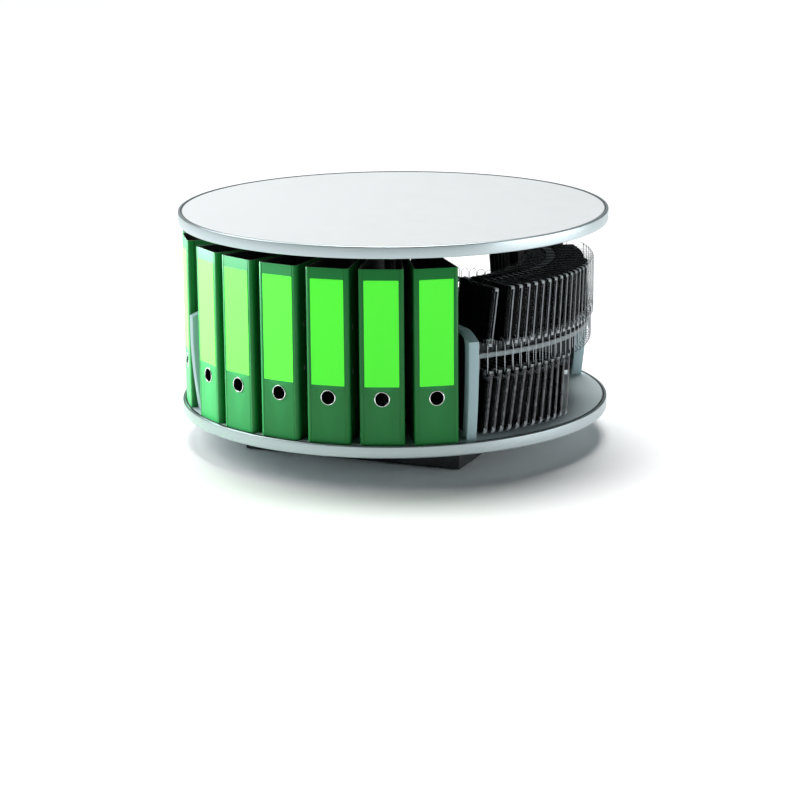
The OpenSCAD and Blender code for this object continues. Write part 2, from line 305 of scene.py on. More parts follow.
def smooth_path(points, per=6, closed=False):
    """A Catmull-Rom curve through the points."""
    p = [np.array(q, float) for q in points]
    n = len(p)
    out = []
    span = range(n) if closed else range(n - 1)
    for k in span:
        p1, p2 = p[k], p[(k + 1) % n]
        p0 = p[k - 1] if closed or k > 0 else 2 * p1 - p2
        p3 = p[(k + 2) % n] if closed or k + 2 < n else 2 * p2 - p1
        for j in range(per):
            t = j / per
            out.append(0.5 * (2 * p1 + (p2 - p0) * t + (2 * p0 - 5 * p1 + 4 * p2 - p3) * t ** 2 + (3 * p1 - p0 - 3 * p2 + p3) * t ** 3))
    if not closed:
        out.append(p[-1])
    return np.array(out)


# ------------------------------------------------------------------ materials
def lin(c):
    return tuple((x / 12.92 if x <= 0.04045 else ((x + 0.055) / 1.055) ** 2.4) for x in (v / 255.0 for v in c))


class Mat:
    """A node material on the Principled shader, with small helpers."""

    def __init__(self, name, base, rough=0.4, metallic=0.0, **sockets):
        self.m = bpy.data.materials.new(name)
        self.m.use_nodes = True
        self.nt = self.m.node_tree
        self.nt.nodes.clear()
        self.out = self.nt.nodes.new("ShaderNodeOutputMaterial")
        self.p = self.nt.nodes.new("ShaderNodeBsdfPrincipled")
        self.nt.links.new(self.p.outputs[0], self.out.inputs[0])
        self.base = tuple(base) + (1.0,)
        self.rough = rough
        self.p.inputs["Base Color"].default_value = self.base
        self.p.inputs["Roughness"].default_value = rough
        self.p.inputs["Metallic"].default_value = metallic
        for k, v in sockets.items():
            self.p.inputs[k.replace("_", " ")].default_value = v
        self.tc = self.nt.nodes.new("ShaderNodeTexCoord")
        self.normal = None

    def node(self, kind, **props):
        n = self.nt.nodes.new(kind)
        for k, v in props.items():
            setattr(n, k, v)
        return n

    def link(self, a, b):
        self.nt.links.new(a, b)

    def coords(self, scale=(1, 1, 1), polar=False):
        """Object coordinates in metres, scaled; polar gives (arc length, radius, height)."""
        src = self.tc.outputs["Object"]
        if polar:
            sep = self.node("ShaderNodeSeparateXYZ")
            self.link(src, sep.inputs[0])
            ang = self.node("ShaderNodeMath", operation="ARCTAN2")
            self.link(sep.outputs["Y"], ang.inputs[0])
            self.link(sep.outputs["X"], ang.inputs[1])
            xy = self.node("ShaderNodeCombineXYZ")
            self.link(sep.outputs["X"], xy.inputs["X"])
            self.link(sep.outputs["Y"], xy.inputs["Y"])
            ln = self.node("ShaderNodeVectorMath", operation="LENGTH")
            self.link(xy.outputs[0], ln.inputs[0])
            com = self.node("ShaderNodeCombineXYZ")
            self.link(ang.outputs[0], com.inputs["X"])
            self.link(ln.outputs["Value"], com.inputs["Y"])
            self.link(sep.outputs["Z"], com.inputs["Z"])
            src = com.outputs[0]
        mp = self.node("ShaderNodeMapping")
        mp.inputs["Scale"].default_value = scale
        self.link(src, mp.inputs["Vector"])
        return mp.outputs[0]

    def noise(self, vec, scale=1.0, detail=3.0, rough=0.55, distortion=0.0):
        n = self.node("ShaderNodeTexNoise")
        n.inputs["Scale"].default_value = scale
        n.inputs["Detail"].default_value = detail
        n.inputs["Roughness"].default_value = rough
        n.inputs["Distortion"].default_value = distortion
        self.link(vec, n.inputs["Vector"])
        return n.outputs["Fac"]

    def remap(self, fac, a, b, lo, hi):
        r = self.node("ShaderNodeMapRange")
        r.inputs["From Min"].default_value = a
        r.inputs["From Max"].default_value = b
        r.inputs["To Min"].default_value = lo
        r.inputs["To Max"].default_value = hi
        self.link(fac, r.inputs["Value"])
        return r.outputs["Result"]

    def mix(self, fac, a, b):
        m = self.node("ShaderNodeMix", data_type="RGBA")
        for sock, val in ((m.inputs[6], a), (m.inputs[7], b)):
            if isinstance(val, tuple):
                sock.default_value = val if len(val) == 4 else val + (1.0,)
            else:
                self.link(val, sock)
        if isinstance(fac, (int, float)):
            m.inputs[0].default_value = fac
        else:
            self.link(fac, m.inputs[0])
        return m.outputs[2]

    def colour(self, out):
        self.link(out, self.p.inputs["Base Color"])
        self.base_out = out
        return self

    def vary(self, amount=0.06, scale=25.0, vec=None, tint=None, detail=4.0):
        """Base colour between a darker and a lighter tone."""
        vec = vec or self.coords()
        f = self.remap(self.noise(vec, scale, detail), 0.3, 0.7, 0.0, 1.0)
        b = self.base
        lo = tuple(c * (1 - amount) for c in b[:3]) + (1.0,)
        hi = tuple(min(1.0, c * (1 + amount)) for c in b[:3]) + (1.0,)
        if tint:
            hi = tuple(min(1.0, h * t) for h, t in zip(hi[:3], tint)) + (1.0,)
        return self.colour(self.mix(f, lo, hi))

    def roughness(self, lo, hi, scale=40.0, vec=None, detail=4.0):
        vec = vec or self.coords()
        f = self.remap(self.noise(vec, scale, detail, 0.6), 0.3, 0.7, lo, hi)
        self.link(f, self.p.inputs["Roughness"])
        return self

    def bump(self, height, strength=0.2, distance=0.0002):
        b = self.node("ShaderNodeBump")
        b.inputs["Strength"].default_value = strength
        b.inputs["Distance"].default_value = distance
        self.link(height, b.inputs["Height"])
        if self.normal is not None:
            self.link(self.normal, b.inputs["Normal"])
        self.normal = b.outputs[0]
        self.link(self.normal, self.p.inputs["Normal"])
        return self

    def grain(self, scale=1500.0, strength=0.15, distance=0.0001, vec=None, detail=2.0):
        return self.bump(self.noise(vec or self.coords(), scale, detail), strength, distance)

    def edge_tone(self, colour, amount=0.5, lo=0.52, hi=0.6):
        """Lighter or darker tone along the sharp edges."""
        g = self.node("ShaderNodeNewGeometry")
        f = self.remap(g.outputs["Pointiness"], lo, hi, 0.0, amount)
        return self.colour(self.mix(f, self.base_out, tuple(colour) + (1.0,)))


# board faced in pale silver grey melamine
def board_mat(name, colour, rough, speck):
    m = Mat(name, colour, rough, Specular_IOR_Level=0.5)
    m.vary(0.007, 5.0, detail=5.0)
    sp = m.noise(m.coords(), 2600.0, 1.0)
    m.colour(m.mix(m.remap(sp, 0.42, 0.62, 0.0, speck), m.base_out, tuple(c * 0.82 for c in colour) + (1.0,)))
    m.roughness(rough - 0.02, rough + 0.03, 35.0)
    m.grain(900.0, 0.10, 0.00008)
    m.grain(6.0, 0.015, 0.0006)
    return m.m


M_TOP = board_mat("top_melamine", (0.655, 0.68, 0.69), 0.38, 0.08)
# painted light: the shelf is a lighter, bluer copy of the top board's melamine, for light in the shade under the top
# disc
M_SHELF_PAINTED_LIGHT = board_mat("shelf_melamine_painted_light", (0.64, 0.74, 0.765), 0.42, 0.20)


def edging_mat(name, tone):
    def c(*rgb):
        return tuple(x * tone for x in rgb)
    m = Mat(name, c(0.485, 0.56, 0.58), 0.34, 0.85)
    v = m.coords((1.2, 60.0, 1800.0), polar=True)
    f = m.noise(v, 1.0, 3.0)
    m.colour(m.mix(m.remap(f, 0.35, 0.65, 0.0, 1.0), c(0.45, 0.53, 0.55), c(0.51, 0.585, 0.605)))
    m.roughness(0.28, 0.40, 1.0, v)
    m.bump(f, 0.06, 0.00008)
    return m.m


M_EDGING = edging_mat("satin_aluminium_edging", 0.94)
# painted shade: the lower disc's edging is a darker copy of the same satin aluminium
M_EDGING_PAINTED_SHADE = edging_mat("satin_aluminium_edging_painted_shade", 0.86)


def seam_mat(name, colour):
    m = Mat(name, colour, 0.6)
    m.vary(0.3, 400.0)
    m.grain(1800.0, 0.3, 0.0001)
    return m.m


# black gasket of the seams, also used as painted shade on the inner faces of the edging lips
M_SEAM_AND_SHADE = seam_mat("black_gasket_and_painted_shade", (0.012, 0.013, 0.014))
# painted light: the top seam is a lighter grey copy of the black gasket
M_TOP_SEAM_PAINTED_LIGHT = seam_mat("top_gasket_painted_light", (0.11, 0.12, 0.125))


def foot_mat():
    m = Mat("black_foot_laminate", (0.022, 0.025, 0.027), 0.42, Specular_IOR_Level=0.45)
    m.vary(0.15, 60.0)
    m.roughness(0.36, 0.5, 45.0)
    m.grain(1400.0, 0.18, 0.0001)
    m.edge_tone((0.10, 0.11, 0.115), 0.5, 0.53, 0.62)
    return m.m


M_FOOT = foot_mat()


def rubber_mat():
    m = Mat("pad_rubber", (0.02, 0.02, 0.021), 0.8)
    m.vary(0.2, 300.0)
    m.grain(2500.0, 0.4, 0.0002)
    return m.m


M_RUBBER = rubber_mat()


def zinc_mat(name, colour, rough):
    m = Mat(name, colour, rough, 1.0)
    v = m.node("ShaderNodeTexVoronoi")
    v.inputs["Scale"].default_value = 220.0
    m.link(m.coords(), v.inputs["Vector"])
    m.colour(m.mix(m.remap(v.outputs["Distance"], 0.0, 0.6, 0.0, 1.0), tuple(c * 0.85 for c in colour) + (1.0,), tuple(min(1, c * 1.1) for c in colour) + (1.0,)))
    m.roughness(rough - 0.06, rough + 0.1, 160.0)
    m.grain(900.0, 0.05, 0.0001)
    return m.m


M_RACE = zinc_mat("race_zinc", (0.42, 0.43, 0.45), 0.38)
M_SCREW = zinc_mat("screw_zinc", (0.66, 0.66, 0.68), 0.28)
M_BALL = zinc_mat("ball_polished", (0.80, 0.80, 0.82), 0.12)


def cage_mat():
    m = Mat("ball_cage_plastic", (0.60, 0.52, 0.30), 0.5)
    m.vary(0.08, 90.0)
    m.grain(1500.0, 0.2, 0.0001)
    return m.m


M_CAGE = cage_mat()


def column_mat():
    m = Mat("black_powder_coat", (0.014, 0.014, 0.016), 0.30, Coat_Weight=0.35, Coat_Roughness=0.18)
    m.vary(0.2, 120.0)
    m.roughness(0.24, 0.36, 70.0)
    m.grain(700.0, 0.16, 0.00012)
    return m.m


M_COLUMN = column_mat()


def divider_mat():
    m = Mat("grey_divider_plastic", (0.345, 0.50, 0.53), 0.42, Specular_IOR_Level=0.5)
    m.vary(0.035, 18.0, detail=5.0)
    m.roughness(0.36, 0.50, 60.0)
    m.grain(1300.0, 0.22, 0.00012)
    m.edge_tone((0.48, 0.62, 0.65), 0.35, 0.53, 0.65)
    return m.m


M_DIVIDER = divider_mat()


# painted shade: the divider's web is near-black where it lies in shade between the bright rims
def web_mat():
    m = Mat("divider_web_painted_shade", (0.020, 0.026, 0.028), 0.5, Specular_IOR_Level=0.3)
    m.vary(0.12, 30.0, detail=5.0)
    m.roughness(0.44, 0.58, 60.0)
    m.grain(1300.0, 0.22, 0.00012)
    return m.m


M_WEB_PAINTED_SHADE = web_mat()


def rail_mat():
    m = Mat("satin_rail", (0.17, 0.20, 0.21), 0.42, 0.6)
    v = m.coords((3.0, 400.0, 1500.0), polar=True)
    f = m.noise(v, 1.0, 3.0)
    m.colour(m.mix(m.remap(f, 0.35, 0.65, 0.0, 1.0), (0.14, 0.17, 0.18), (0.20, 0.235, 0.245)))
    m.roughness(0.28, 0.44, 1.0, v)
    m.bump(f, 0.08, 0.00008)
    return m.m


M_RAIL = rail_mat()


def bracket_mat():
    m = Mat("black_bracket_plastic", (0.03, 0.031, 0.034), 0.5)
    m.vary(0.15, 200.0)
    m.grain(1700.0, 0.3, 0.00012)
    m.edge_tone((0.10, 0.10, 0.11), 0.5, 0.53, 0.62)
    return m.m


M_BRACKET = bracket_mat()


def wire_mat():
    m = Mat("bright_wire", (0.34, 0.37, 0.39), 0.18, 1.0)
    m.vary(0.06, 300.0)
    m.roughness(0.10, 0.24, 260.0)
    m.grain(500.0, 0.03, 0.0001)
    return m.m


M_WIRE = wire_mat()


def film_mat():
    m = Mat("clear_film", (0.17, 0.21, 0.22), 0.14, Specular_IOR_Level=0.5, Alpha=0.02)
    m.vary(0.2, 40.0)
    m.roughness(0.10, 0.20, 55.0)
    m.grain(120.0, 0.02, 0.0001)
    return m.m


M_FILM = film_mat()


def plastic_edge(name, colour, rough, alpha=1.0):
    m = Mat(name, colour, rough, Specular_IOR_Level=0.6, Alpha=alpha)
    m.vary(0.15, 60.0)
    m.roughness(rough - 0.04, rough + 0.06, 60.0)
    m.grain(400.0, 0.04, 0.0001)
    return m.m


M_EDGE = plastic_edge("film_edge", (0.42, 0.455, 0.485), 0.24, 0.54)
M_LINE = plastic_edge("film_edge_thin", (0.24, 0.26, 0.28), 0.26, 0.5)
# painted shade: a much darker copy of the film edge, for the lower pockets' edges in shadow
M_EDGE_PAINTED_SHADE = plastic_edge("film_edge_painted_shade", (0.045, 0.047, 0.052), 0.26)
# pale film lap, partly painted highlight on the corners, tabs and feet of the sleeves
M_TAB_AND_HIGHLIGHT = plastic_edge("film_lap_and_painted_highlight", (0.37, 0.41, 0.43), 0.20)


def core_mat():
    m = Mat("black_disc_sleeve", (0.0018, 0.0019, 0.0021), 0.50, Specular_IOR_Level=0.05)
    m.vary(0.4, 60.0)
    m.roughness(0.45, 0.65, 50.0)
    m.grain(900.0, 0.06, 0.0001)
    return m.m


M_CORE = core_mat()


def cover_mat(name, tone):
    def c(*rgb):
        return tuple(x * tone for x in rgb)
    m = Mat(name, c(0.0065, 0.172, 0.031), 0.45, Specular_IOR_Level=0.29, Coat_Weight=0.04, Coat_Roughness=0.25)
    v = m.coords()
    info = m.node("ShaderNodeObjectInfo")
    shift = m.remap(info.outputs["Random"], 0.0, 1.0, 0.0, 1.0)
    b = m.mix(shift, c(0.006, 0.164, 0.029), c(0.0075, 0.184, 0.034))
    f = m.remap(m.noise(v, 14.0, 5.0), 0.3, 0.7, 0.0, 0.12)
    m.colour(m.mix(f, b, c(0.005, 0.140, 0.025)))
    # painted highlight: lighter green along the rounded spine edges
    m.edge_tone(c(0.03, 0.34, 0.085), 0.45, 0.52, 0.60)
    m.roughness(0.41, 0.50, 50.0)
    m.grain(1100.0, 0.10, 0.00009)          # fine emboss of the film
    m.grain(9.0, 0.05, 0.0009)              # board not perfectly flat
    return m.m


M_COVER = cover_mat("green_film_cover", 1.0)
# painted shade: a half-tone copy of the cover film for the boards in the gaps between files
M_SIDE_PAINTED_SHADE = cover_mat("green_film_boards_painted_shade", 0.5)


def lining_mat():
    m = Mat("black_paper_lining", (0.010, 0.010, 0.011), 0.72)
    m.vary(0.3, 120.0)
    m.grain(1800.0, 0.4, 0.00012)
    return m.m


M_LINING = lining_mat()


def board_edge_mat():
    m = Mat("dark_board_edge", (0.030, 0.017, 0.014), 0.7)
    v = m.coords((60.0, 60.0, 2200.0))
    m.vary(0.5, 1.0, v)
    m.grain(1400.0, 0.4, 0.00015)
    return m.m


M_BOARD_EDGE = board_edge_mat()


def label_mat():
    m = Mat("plain_green_label", (0.095, 0.88, 0.034), 0.52, Specular_IOR_Level=0.40, Coat_Weight=0.03, Coat_Roughness=0.25,
            Emission_Color=(0.02, 1.0, 0.01, 1.0), Emission_Strength=0.26)          # painted light: the label glows green by itself, for the look of day-glow paper
    v = m.coords((1.0, 1.0, 0.35))
    m.vary(0.025, 1200.0, v, detail=3.0)
    cloud = m.remap(m.noise(m.coords(), 7.0, 3.0), 0.3, 0.7, 0.0, 0.10)
    m.colour(m.mix(cloud, m.base_out, (0.12, 0.91, 0.045)))
    m.roughness(0.46, 0.58, 80.0)
    m.grain(1600.0, 0.10, 0.00008)
    m.grain(10.0, 0.02, 0.0007)
    return m.m


M_LABEL = label_mat()


def ring_mat():
    m = Mat("bright_finger_ring", (0.88, 0.89, 0.90), 0.18, 1.0)
    m.vary(0.05, 200.0)
    m.roughness(0.12, 0.26, 180.0)
    m.grain(400.0, 0.03, 0.0001)
    return m.m


M_RING = ring_mat()


# painted shade: the eyelets are a much darker copy of the nickel, for their place in the gaps between files
def eyelet_mat():
    m = Mat("eyelet_painted_shade", (0.16, 0.17, 0.17), 0.35, 0.9)
    m.vary(0.1, 200.0)
    m.roughness(0.28, 0.44, 180.0)
    m.grain(400.0, 0.04, 0.0001)
    return m.m


M_EYELET_PAINTED_SHADE = eyelet_mat()


def collar_mat():
    m = Mat("black_ring_collar", (0.015, 0.015, 0.016), 0.45)
    m.vary(0.2, 200.0)
    m.grain(900.0, 0.1, 0.0001)
    return m.m


M_COLLAR = collar_mat()


def nickel_mat():
    m = Mat("nickel_plate", (0.70, 0.69, 0.67), 0.22, 1.0)
    m.vary(0.06, 90.0)
    m.roughness(0.14, 0.32, 120.0)
    m.grain(600.0, 0.04, 0.0001)
    return m.m


M_NICKEL = nickel_mat()

# ------------------------------------------------------------------ CAD nodes that stay, with their finishes
FINISH = {
    "foot_pads": M_RUBBER, "lower_race": M_RACE, "upper_race": M_RACE,
    "lower_race_screws": M_SCREW, "upper_race_screws": M_SCREW, "bearing_balls": M_BALL, "ball_cage": M_CAGE,
    "bottom_panel": M_SHELF_PAINTED_LIGHT, "top_panel": M_TOP,
    "column_tube": M_COLUMN, "column_foot_flange": M_COLUMN, "column_head_flange": M_COLUMN,
    "flange_screws": M_SCREW, "divider_screws": M_SCREW, "rail_outer": M_RAIL, "rail_inner": M_RAIL,
    "rail_brackets": M_BRACKET,
}
for name, mat in FINISH.items():
    me = frame["nodes"][name].data
    me.materials.clear()
    me.materials.append(mat)

# ------------------------------------------------------------------ foot
b = Build()
s = 215.0
p = round_poly([(-s, -s), (s, -s), (s, s), (-s, s)], 2.2, 4)
b.add(prism(p, 2.0, 44.0, 1.3, 3)[:2], 0)
place("foot_board", b.mesh("foot_board", [M_FOOT]), "base", ["base_plate"])


# ------------------------------------------------------------------ edging of the two discs
def edging(z0, z1, lip):
    r, w = DISC_R, BAND_W
    pts = [(r - w, z0 + 0.5), (r - w + 0.5, z0), (r - 2.4, z0)]
    for k in range(1, 7):      # lower rounding
        a = math.pi / 2 * k / 6
        pts.append((r - 2.4 + 2.2 * math.sin(a), z0 + 2.2 - 2.2 * math.cos(a)))
    pts.append((r, (z0 + z1) / 2))
    for k in range(0, 7):      # upper rounding
        a = math.pi / 2 * k / 6
        pts.append((r - 2.4 + 2.2 * math.cos(a), z1 - 2.2 + 2.2 * math.sin(a)))
    pts += [(r - w + 1.3, z1), (r - w + 0.5, z1 - 0.35), (r - w, z1 - 0.9)]
    v, f = lathe(pts, 384)
    n = len(pts)
    return v, f, [1 if k % n >= n - 3 else 0 for k in range(len(f))]     # 1: the groove side of the lip, black as painted shade on the lip's inner face


for name, z0, z1, lip in (("bottom", PANEL_LO, SHELF, 0.0), ("top", TOP_LO, TOP, LIP)):
    b = Build().add(edging(z0, z1, lip), [0, 1])
    place(name + "_edging", b.mesh(name + "_edging", [M_EDGING_PAINTED_SHADE if name == "bottom" else M_EDGING, M_SEAM_AND_SHADE], 40), "carousel", [name + "_edge_band"])
    zs = z1 - lip
    r1 = DISC_R - BAND_W - 0.02
    b = Build().add(lathe([(r1 - 1.9, zs - 0.1), (r1, zs - 0.6), (r1, zs + 0.12), (r1 - 1.6, zs + 0.16), (r1 - 1.9, zs + 0.06)], 384), 0)
    place(name + "_seam", b.mesh(name + "_seam", [M_SEAM_AND_SHADE if name == "bottom" else M_TOP_SEAM_PAINTED_LIGHT], 40), "carousel")


# ------------------------------------------------------------------ dividers
def div_out(z):
    return 388 + 13 * math.sin(math.pi / 2 * min(max(z, 0), 150) / 150)


def div_top(r):
    return DIV_H - 14 + 14 * math.sin(math.pi / 2 * (401 - r) / 51) if r > 350 else DIV_H - 8 * (350 - r) / (350 - DIV_RI)


def divider_shape():
    n1, n2 = 22, 16
    outer = [(DIV_RI, 0.0)]
    outer += [(div_out((DIV_H - 14) * k / n1), (DIV_H - 14) * k / n1) for k in range(n1 + 1)]
    outer += [(401 - 51 * k / n2, div_top(401 - 51 * k / n2)) for k in range(1, n2 + 1)]
    outer += [(DIV_RI, div_top(DIV_RI))]
    inner = [(DIV_RI + 7, div_top(DIV_RI) - 6)]
    inner += [(350 + 26 * k / n2, div_top(358 + 26 * k / n2) - 6) for k in range(0, n2)]
    inner += [(div_out((DIV_H - 22) * k / n1) - 22, (DIV_H - 22) * k / n1) for k in range(n1, -1, -1)]
    outer_a = np.array(outer)
    # rim: the outline out and back along the window, with a broad foot at each end
    ring = list(outer_a)                       # (ri,0) ... out, up, over, (ri,top)
    rim = [(DIV_RI + 26, 0.0), (DIV_RI + 26, 15.0), (DIV_RI + 12, 22.0), (DIV_RI + 7, 32.0)]
    rim += inner                               # up the inner side, over and down to the outer foot
    poly = [(DIV_RI, 0.0)] + rim + [(388.0, 0.0)] + [tuple(q) for q in outer_a[2:]]
    poly = np.array(poly)
    radii = np.zeros(len(poly))
    for k, q in enumerate(poly):
        if q[1] > 20 and abs(q[0] - DIV_RI) < 0.01:
            radii[k] = 7.0
        if abs(q[0] - (DIV_RI + 7)) < 0.01 and q[1] > 60:
            radii[k] = 5.0
    poly = round_poly(poly, radii, 6)
    v, f, fm = prism(poly, -DIV_W / 2, DIV_W / 2, 1.5, 3, "xz")

    def taper(v):
        v = v.copy()
        half = 4.2 + (DIV_W / 2 - 4.2) * np.clip((v[:, 0] - 100) / 200, 0, 1)
        v[:, 1] *= half / (DIV_W / 2)
        return v
    v = taper(v)
    web_outline = np.array([(DIV_RI + 4, 1.5), (156, 1.5), (156, 9), (366, 9), (366, 1.5), (381, 1.5)]
                           + [(div_out(z) - 6, z) for z in np.linspace(20, DIV_H - 22, 12)]
                           + [(r, div_top(r) - 4) for r in np.linspace(386, 350, 8)] + [(DIV_RI + 4, div_top(DIV_RI) - 4)])
    w = prism(web_outline, -1.9, 1.9, 0.0, 1, "xz")
    # low ribs for the web, built here but not added to the mouldings
    ribs = []
    for r0 in (210.0, 300.0):
        for s in (-1, 1):
            y0, y1 = (1.7, 3.2) if s > 0 else (-3.2, -1.7)
            ribs.append(rbox(r0 - 1.6, r0 + 1.6, y0, y1, 12, div_top(r0) - 5, 0.5, 2))
    return (v, f), w[:2], ribs


rim, web, ribs = divider_shape()
for name, az in (("divider_front_right", DIV_AZ), ("divider_back_right", DIV_AZ + 90), ("divider_back_left", DIV_AZ + 180), ("divider_front_left", DIV_AZ + 270)):
    b = Build()
    xf = T(0, 0, SHELF)
    b.add(rim, 0, xf)
    b.add(web, 1, xf)
    me = b.mesh(name + "_moulding", [M_DIVIDER, M_WEB_PAINTED_SHADE], 35)
    place(name + "_moulding", me, "carousel", [name], matrix=RZ(az))


# ------------------------------------------------------------------ hanger loops of round wire
def stadium(half_w, half_s, n=9):
    pts = []
    for k in range(n):
        a = math.pi * k / (n - 1)
        pts.append((half_w * math.cos(a), 0.0, half_s + half_w * math.sin(a)))
    for k in range(n):
        a = math.pi + math.pi * k / (n - 1)
        pts.append((half_w * math.cos(a), 0.0, -half_s + half_w * math.sin(a)))
    return np.array(pts)


def saddle(r):
    """Low clip on top of a rail, drawn out to a point on both sides, that holds one loop in its place."""
    w = [(-7.2, 232.1), (-3.4, 232.0), (3.4, 232.0), (7.2, 232.1), (3.2, 233.2), (1.4, 234.2), (-1.4, 234.2), (-3.2, 233.2)]
    top = prism(round_poly(w, [0.1, 0, 0, 0.1, 0.8, 0.8, 0.8, 0.8], 2), r - 3.2, r + 3.5, 0.2, 1, "yz")
    lip = [(-7.0, 231.9), (-2.6, 230.4), (2.6, 230.4), (7.0, 231.9), (3.2, 232.9), (-3.2, 232.9)]
    front = prism(round_poly(lip, [0.2, 0.8, 0.8, 0.2, 0.6, 0.6], 2), r + 3.05, r + 3.7, 0.15, 1, "yz")
    return top, front


b = Build()
loop = tube(stadium(8.5, 22.5, 11), 0.75, 8, closed=True)
for q in (Q_POCKET, Q_REAR):
    for i in range(29):
        for r in (RING_O, RING_I):
            b.add(loop, 0, RZ(loop_az(q, i)) @ T(r, 0, (PIVOT_UP + PIVOT_LO) / 2) @ RZ(-32.0))
            for part in saddle(r):
                b.add(part[:2], 1, RZ(loop_az(q, i)))
place("hanger_wires", b.mesh("hanger_wires", [M_WIRE, M_BRACKET], 60), "carousel", ["hanger_loops"])


# ------------------------------------------------------------------ disc pockets
def ribbon(path, y0, y1, thick):
    """A thin strip that follows a path in x and z, as wide as y0 to y1, its thickness on the left of the path."""
    p = np.asarray(path, float)
    t = np.gradient(p, axis=0)
    t /= np.linalg.norm(t, axis=1, keepdims=True)
    q = p + np.column_stack([-t[:, 1], t[:, 0]]) * thick
    n = len(p)
    v = np.vstack([np.column_stack([c[:, 0], np.full(n, y), c[:, 1]]) for c, y in ((p, y0), (p, y1), (q, y1), (q, y0))])
    f = [(0, n, 2 * n, 3 * n), (n - 1, 4 * n - 1, 3 * n - 1, 2 * n - 1)]
    for r in range(4):
        r1 = (r + 1) % 4
        for k in range(n - 1):
            f.append((r * n + k, r * n + k + 1, r1 * n + k + 1, r1 * n + k))
    return v, f


def arc(cx, cz, r, a0, a1, n=7):
    return [(cx + r * math.cos(math.radians(a0 + (a1 - a0) * k / n)), cz + r * math.sin(math.radians(a0 + (a1 - a0) * k / n))) for k in range(n + 1)]


FILM, EDGE, CORE, CAP_HIGHLIGHT, SHADED_EDGE, LINE = range(6)


def sleeve(outline, radii, core, core_radii):
    """Two clear film plates with pale cut edges, and the black filling, which stops short of the outer edge."""
    b = Build()
    poly = round_poly(outline, radii, 6)
    b.add(prism(poly, 2.8, 3.5, 0.16, 1, "xz"), [FILM, LINE])
    b.add(prism(poly, -3.5, -2.8, 0.16, 1, "xz"), [FILM, LINE])
    b.add(prism(round_poly(core, core_radii, 4), -3.56, 3.56, 0.6, 2, "xz"), [CORE, CORE])
    return b


def upper_pocket(nz, fill=367.0):
    nh, t, o = 8.6, 98.0, 378.0
    pts = [(248, -8), (RING_I - nh, -8), (RING_I - nh, nz), (RING_I + nh, nz), (RING_I + nh, -8),
           (RING_O - nh, -8), (RING_O - nh, nz), (RING_O + nh, nz), (RING_O + nh, -8), (o, -8),
           (o, t), (315, t), (309, t - 5), (283, t - 5), (277, t), (248, t)]
    rad = [1.0, 1.0, 3.5, 3.5, 1.5, 1.5, 3.5, 3.5, 1.0, 1.0, 4.0, 4.0, 3.0, 3.0, 4.0, 4.0]
    m = nz + 2.2
    core = [(250.5, m), (272.5, m), (272.5, -6.5), (355.5, -6.5), (355.5, m), (fill, m), (fill, t - 2.6),
            (317, t - 2.6), (311, t - 6.2), (281, t - 6.2), (275, t - 2.6), (250.5, t - 2.6)]
    b = sleeve(pts, rad, core, [2, 1, 2, 2, 1, 1, 4, 3, 3, 3, 3, 4])
    # lap where the film is folded over at the outer edge, bridged at its two corners by pale pieces that are partly
    # painted highlight
    b.add(ribbon([(o, z) for z in np.linspace(-6.5, t - 4, 12)], 1.3, 3.5, 0.7), EDGE)
    b.add(ribbon([(o, t - 5.5)] + arc(o - 4, t - 4, 4, 0, 90, 6) + [(o - 6.5, t)], -3.5, 3.5, 0.7), CAP_HIGHLIGHT)
    b.add(ribbon([(o - 3.2, -8), (o - 1.0, -8)] + arc(o - 1, -7, 1, -90, 0, 3) + [(o, -2.5)], -3.5, 3.5, 0.7), CAP_HIGHLIGHT)
    # closed spine of the sleeve at the inner edge
    b.add(ribbon([(248.0, z) for z in np.linspace(t - 5, -6, 12)], -3.5, 3.5, 0.8), CORE)
    # index tab held in the thumb notch, with a pale top edge that is partly painted highlight
    b.add(rbox(288.0, 305.0, -0.5, 0.5, t - 8.5, t - 3.1, 0.3, 2), CORE)
    b.add(rbox(288.5, 304.5, -0.55, 0.55, t - 3.2, t - 2.3, 0.3, 2), CAP_HIGHLIGHT)
    # pressed line round the disc window on both faces
    for s in (-1, 1):
        path = round_poly([(254, 8), (363, 8), (363, t - 11), (254, t - 11)], 6, 4)
        path = np.column_stack([path[:, 0], np.full(len(path), 3.56 * s), path[:, 1]])
        b.add(tube(path, 0.25, 6, closed=True), CORE)
    return b


